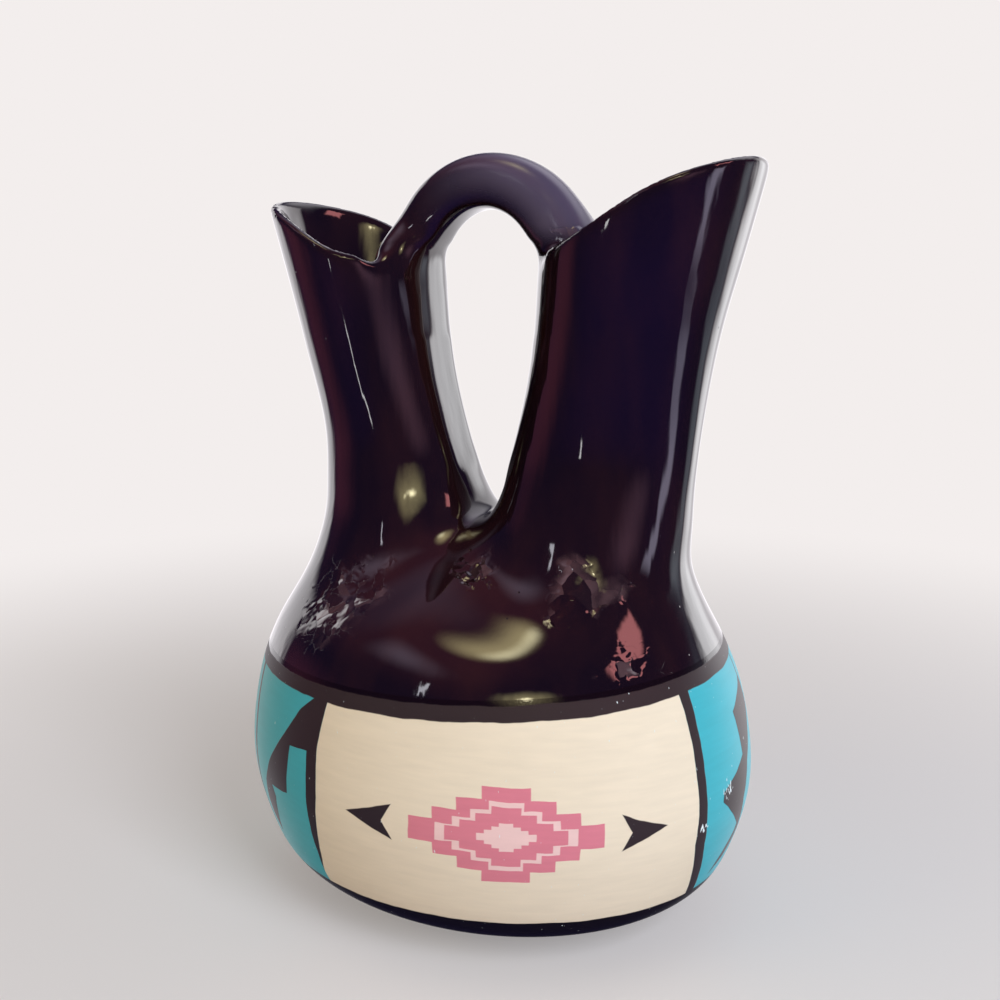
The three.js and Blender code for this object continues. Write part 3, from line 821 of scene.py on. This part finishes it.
def makeBandPaint():
    material, tree, shader = newMaterial("brushedUnderglaze")
    place = placeInMm(tree)
    hand = addNode(tree, "TexNoise", {"Vector": place, "Scale": 1 / band["wanderLength"], "Detail": 2.0})
    centred = addNode(
        tree, "VectorMath", {0: hand.outputs["Color"], 1: (0.5, 0.5, 0.5)}, operation="SUBTRACT")
    sway = (band["wander"] * 2,) * 3
    stray = addNode(tree, "VectorMath", {0: centred, 1: sway, 2: place}, operation="MULTIPLY_ADD")
    axes = addNode(tree, "SeparateXYZ", {0: stray})
    height = axes.outputs["Z"]
    across = addNode(tree, "Math", {0: axes.outputs["Y"], 1: band["ovalRatio"]}, operation="DIVIDE")
    turn = addNode(tree, "Math", {0: across, 1: axes.outputs["X"]}, operation="ARCTAN2")
    degrees = addNode(
        tree, "Math", {0: turn, 1: 180 / math.pi, 2: -band["start"]}, operation="MULTIPLY_ADD")
    folded = addNode(tree, "Math", {0: degrees, 1: 180}, operation="FLOORED_MODULO")
    around = addNode(tree, "Math", {0: folded, 1: band["start"]}, operation="ADD")

    def stroke(low, high):
        lowPath = brushPath(tree, height, band[low]) if isinstance(low, str) else low
        highPath = brushPath(tree, height, band[high]) if isinstance(high, str) else high
        return coverOf(tree, insideStroke(tree, around, lowPath, highPath, band["degree"]))

    cream = stroke("creamLeft", "creamRight")
    slant = brushPath(tree, height, band["slant"])
    slantLow, slantHigh = (addNode(tree, "Math", {0: slant, 1: band["slantHalf"]}, operation=side)
                           for side in ("SUBTRACT", "ADD"))
    overBase = coverOf(tree, heightOver(tree, stray, band["baseEdge"]))
    base = addNode(tree, "Math", {0: 1.0, 1: overBase}, operation="SUBTRACT")
    pink, pale, arrows = lozengeCovers(tree, around, height)
    black = stroke(-200.0, "creamLeft")
    for more in (stroke("creamRight", "lineRight"), stroke("boltLeft", "boltRight"),
                 stroke("hookLeft", "hookRight"), stroke(slantLow, slantHigh),
                 coverOf(tree, heightOver(tree, stray, band["lineEdge"])), base, arrows):
        black = addNode(tree, "Math", {0: black, 1: more}, operation="MAXIMUM")

    paint = stepTo(tree, cream, colour(band["turquoise"]), colour(band["cream"]))
    paint = stepTo(tree, pink, paint, colour(band["pink"]))
    paint = stepTo(tree, pale, paint, colour(band["pale"]))
    # The base band takes the darker black, painted shade
    blackPaint = stepTo(tree, base, colour(band["black"]), colour(band["baseBlackShaded"]))
    paint = brushedAndWorn(tree, place, stepTo(tree, black, paint, blackPaint))

    glossy = coverOf(tree, heightOver(tree, stray, band["glazeEdge"]), 0.4)
    finish = stepTo(tree, glossy, paint, colour(glaze["deep"]))
    rough = addNode(tree, "MapRange", {
        "Value": glossy, "To Min": band["roughness"], "To Max": glaze["roughness"]})
    grain = addNode(tree, "TexNoise", {"Vector": place, "Scale": 1 / band["tooth"], "Detail": 2.0})
    tooth = addNode(tree, "Bump", {"Distance": band["toothDepth"] * mm, "Height": grain})
    depth = band["layerDepth"] * mm
    layer = addNode(tree, "Bump", {"Distance": depth, "Height": black, "Normal": tooth})
    tree.links.new(outputOf(finish), shader.inputs["Base Color"])
    tree.links.new(rough.outputs[0], shader.inputs["Roughness"])
    tree.links.new(layer.outputs[0], shader.inputs["Normal"])
    return material


# Foot slip: unglazed black slip, rubbed pale and rough where it has stood
slip = {
    "tint": "171112",
    "worn": "6a5a50",
    "wornTo": 1.4,            # mm above the table
    "grit": 0.8,              # mm
    "gritDepth": 0.03,
    "roughness": 0.6,
}


def makeFootSlip():
    material, tree, shader = newMaterial("rubbedFootSlip")
    place = placeInMm(tree)
    height = addNode(tree, "SeparateXYZ", {0: place}).outputs["Z"]
    grit = addNode(tree, "TexNoise", {"Vector": place, "Scale": 1 / slip["grit"], "Detail": 3.0})
    low = addNode(tree, "MapRange", {"Value": height, "From Min": slip["wornTo"], "From Max": 0.0})
    worn = addNode(tree, "Math", {0: low, 1: grit}, operation="MULTIPLY")
    tint = stepTo(tree, worn, colour(slip["tint"]), colour(slip["worn"]))
    tree.links.new(outputOf(tint), shader.inputs["Base Color"])
    tooth = addNode(tree, "Bump", {"Distance": slip["gritDepth"] * mm, "Height": grit})
    tree.links.new(tooth.outputs[0], shader.inputs["Normal"])
    shader.inputs["Roughness"].default_value = slip["roughness"]
    return material


# The bowl's faces that look away from a point at this height, in mm, are its painted outside
bowlMiddle = 50


def dressPieces():
    glossy = makeGlaze("dippedBlackGlaze", 0)
    # The strap's glaze carries the painted sheen on its top
    rubbedAndSheenGlaze = makeGlaze("rubbedBlackGlazeWithPaintedSheen", glaze["haze"])
    painted = makeBandPaint()
    for name, piece in pieces.items():
        piece.data.materials.clear()
        piece.data.materials.append(rubbedAndSheenGlaze if name == "stirrup_handle" else glossy)
        piece.data.polygons.foreach_set("material_index", [0] * len(piece.data.polygons))
    pieces["bowl"].data.materials.append(painted)
    middle = Vector((0, 0, bowlMiddle)) * mm
    for face in pieces["bowl"].data.polygons:
        face.material_index = 1 if face.normal.dot(face.center - middle) > 0 else 0
    footRing.data.materials.append(makeFootSlip())


dressPieces()
print("finishes on")


# Stage: one flat pale sheet under a pale backdrop, so far off it takes the backdrop's own tone
stage = {
    "radius": 4,
    "floor": "e2dddc",
    "backdrop": "f3eeed",
    "roughness": 0.8,
    "fadeFrom": 0.12,         # metres from the vase
    "fadeTo": 0.6,
    "lift": 0.3,              # share of the backdrop's tone under the vase
}


def makeFloor():
    bm = bmesh.new()
    bmesh.ops.create_circle(bm, segments=96, radius=stage["radius"], cap_ends=True)
    floor = linkObject(meshFrom(bm, "floor"), "floor")
    material, tree, shader = newMaterial("paleSheet")
    shader.inputs["Base Color"].default_value = colour(stage["floor"])
    shader.inputs["Roughness"].default_value = stage["roughness"]
    at = addNode(tree, "TexCoord").outputs["Object"]
    away = addNode(tree, "VectorMath", {0: at}, operation="LENGTH").outputs["Value"]
    near, beyond = stage["fadeFrom"], stage["fadeTo"]
    far = addNode(tree, "MapRange", {
        "Value": away, "From Min": near, "From Max": beyond, "To Min": stage["lift"],
    }, interpolation_type="SMOOTHSTEP")
    seen = addNode(tree, "LightPath").outputs["Is Camera Ray"]
    fade = addNode(tree, "Math", {0: far, 1: seen}, operation="MULTIPLY")
    glow = addNode(tree, "Emission", {"Color": colour(stage["backdrop"])})
    sheet = addNode(tree, "MixShader", {0: fade, 1: shader, 2: glow})
    tree.links.new(sheet.outputs[0], tree.nodes["Material Output"].inputs["Surface"])
    floor.data.materials.append(material)
    floor.visible_glossy = False          # the glaze mirrors the dim room instead


# Two soft windows: place and size in metres, power in watts, and colour
lamps = {
    "window": ((1.0, -0.5, 0.75), (0.6, 0.8), 14, (0.90, 0.97, 1.08)),
    "warmFill": ((-0.8, -0.9, 0.5), (0.7, 0.7), 2.8, (1, 0.75, 0.24)),
}


# The middle of the vase, which both face
lampAim = Vector((0, 0, 0.1))


def makeLamp(name, place, size, power, tint):
    data = bpy.data.lights.new(name, "AREA")
    data.shape = "RECTANGLE"
    data.size, data.size_y = size
    data.energy = power
    data.color = tint
    lamp = bpy.data.objects.new(name, data)
    lamp.location = place
    aim = lampAim - Vector(place)
    lamp.rotation_euler = aim.to_track_quat("-Z", "Y").to_euler()
    lamp.visible_glossy = False           # the glaze mirrors the room below instead
    lamp.visible_camera = False
    scene.collection.objects.link(lamp)


# The room that the glaze mirrors. Each light in it has a bearing from the front and an elevation,
# its half width and half height, all in degrees, its soft edge as a share of its size, and its colour.
# Panels are square, lamps are oval
room = {
    "fill": (0.31, 0.30, 0.30, 1),
    "dim": (0.03, 0.024, 0.085),
    "panels": {
        "wallBehind": (-159, -7, 66, 36, 0.15, (1.5, 1.45, 1.45)),
        "coolWall": (126, -6, 13, 24, 0.9, (0.6, 0.7, 0.76)),
        "tallWindow": (79, -10, 8, 19, 0.7, (1.4, 1.3, 1.7)),
        "gapLow": (-16, -10, 1.2, 3.8, 0.3, (5, 5, 5)),
        "gapHigh": (-21, 29, 1.0, 6.5, 0.3, (4, 4, 4.4)),
        "roseCurtain": (84, 41, 12, 6.5, 0.3, (3.6, 1.2, 1.2)),
    },
    "lamps": {
        "windowWall": (153, -1, 20, 26, 0.6, (1.8, 1.82, 1.85)),
        "wallAbove": (165, 50, 42, 26, 0.7, (1.1, 1.08, 1.12)),
        "ceilingBehind": (-160, 62, 50, 26, 0.9, (0.35, 0.3, 0.4)),
        "brownCeiling": (-60, 62, 60, 40, 0.9, (0.20, 0.045, 0.035)),
        "greyCeiling": (-46, 48, 26, 13, 1.0, (0.45, 0.4, 0.52)),
        "brownSide": (-76, -6, 28, 28, 0.9, (0.22, 0.045, 0.06)),
        "mauveFront": (46, 6, 22, 20, 1.0, (0.38, 0.19, 0.26)),
        "navyFloor": (20, -40, 90, 40, 0.8, (0, 0, 0.11)),
        "ceilingGlow": (-40, 78, 13, 11.5, 1.0, (2.8, 2.4, 1.2)),
        "ceilingCore": (-18, 77, 6, 6, 1.0, (3.4, 3.2, 2.1)),
        "sideGlow": (25, 31, 17, 9, 1.0, (2.2, 1.9, 0.95)),
        "sideCore": (25, 31, 4, 2.2, 1.0, (12, 11, 7)),
    },
}


def lightOfRoom(tree, toward):
    light = addNode(tree, "CombineXYZ", dict(enumerate(room["dim"])))
    for kind in ("panels", "lamps"):
        for bearing, elevation, halfWide, halfHigh, soft, tint in room[kind].values():
            turn, rise = math.radians(bearing), math.radians(elevation)
            level = math.cos(rise)
            centre = Vector((math.sin(turn) * level, -math.cos(turn) * level, math.sin(rise)))
            across = Vector((math.cos(turn), math.sin(turn), 0))
            shadows = (addNode(tree, "VectorMath", {0: toward, 1: axis}, operation="DOT_PRODUCT")
                       for axis in (centre, across, centre.cross(across)))
            ahead, sideways, upward = (shadow.outputs["Value"] for shadow in shadows)
            aside = addNode(tree, "Math", {0: sideways, 1: ahead}, operation="ARCTAN2")
            above = addNode(tree, "Math", {0: upward}, operation="ARCSINE")
            shares = []
            for angle, half in ((aside, halfWide), (above, halfHigh)):
                perHalf = 1 / math.radians(half)
                share = addNode(tree, "Math", {0: angle, 1: perHalf}, operation="MULTIPLY")
                shares.append(addNode(tree, "Math", {0: share}, operation="ABSOLUTE"))
            if kind == "panels":
                off = addNode(tree, "Math", {0: shares[0], 1: shares[1]}, operation="MAXIMUM")
            else:
                flat = addNode(tree, "CombineXYZ", {0: shares[0], 1: shares[1]})
                off = addNode(tree, "VectorMath", {0: flat}, operation="LENGTH").outputs["Value"]
            share = addNode(tree, "MapRange", {"Value": off, "From Min": 1.0, "From Max": 1 - soft},
                            interpolation_type="SMOOTHSTEP")
            light = addNode(tree, "VectorMath", {0: tint, 1: share, 2: light}, operation="MULTIPLY_ADD")
    return light


def makeWorld():
    world = bpy.data.worlds.new("studio")
    scene.world = world
    world.use_nodes = True
    tree = world.node_tree
    toward = addNode(tree, "TexCoord").outputs["Generated"]
    path = addNode(tree, "LightPath")
    lit = stepTo(tree, path.outputs["Is Glossy Ray"], room["fill"], lightOfRoom(tree, toward))
    seen = stepTo(tree, path.outputs["Is Camera Ray"], lit, colour(stage["backdrop"]))
    tree.links.new(outputOf(seen), tree.nodes["Background"].inputs["Color"])


makeFloor()
makeWorld()
for name, lamp in lamps.items():
    makeLamp(name, *lamp)
print("stage and light ready")

scene.view_settings.view_transform = "Standard"
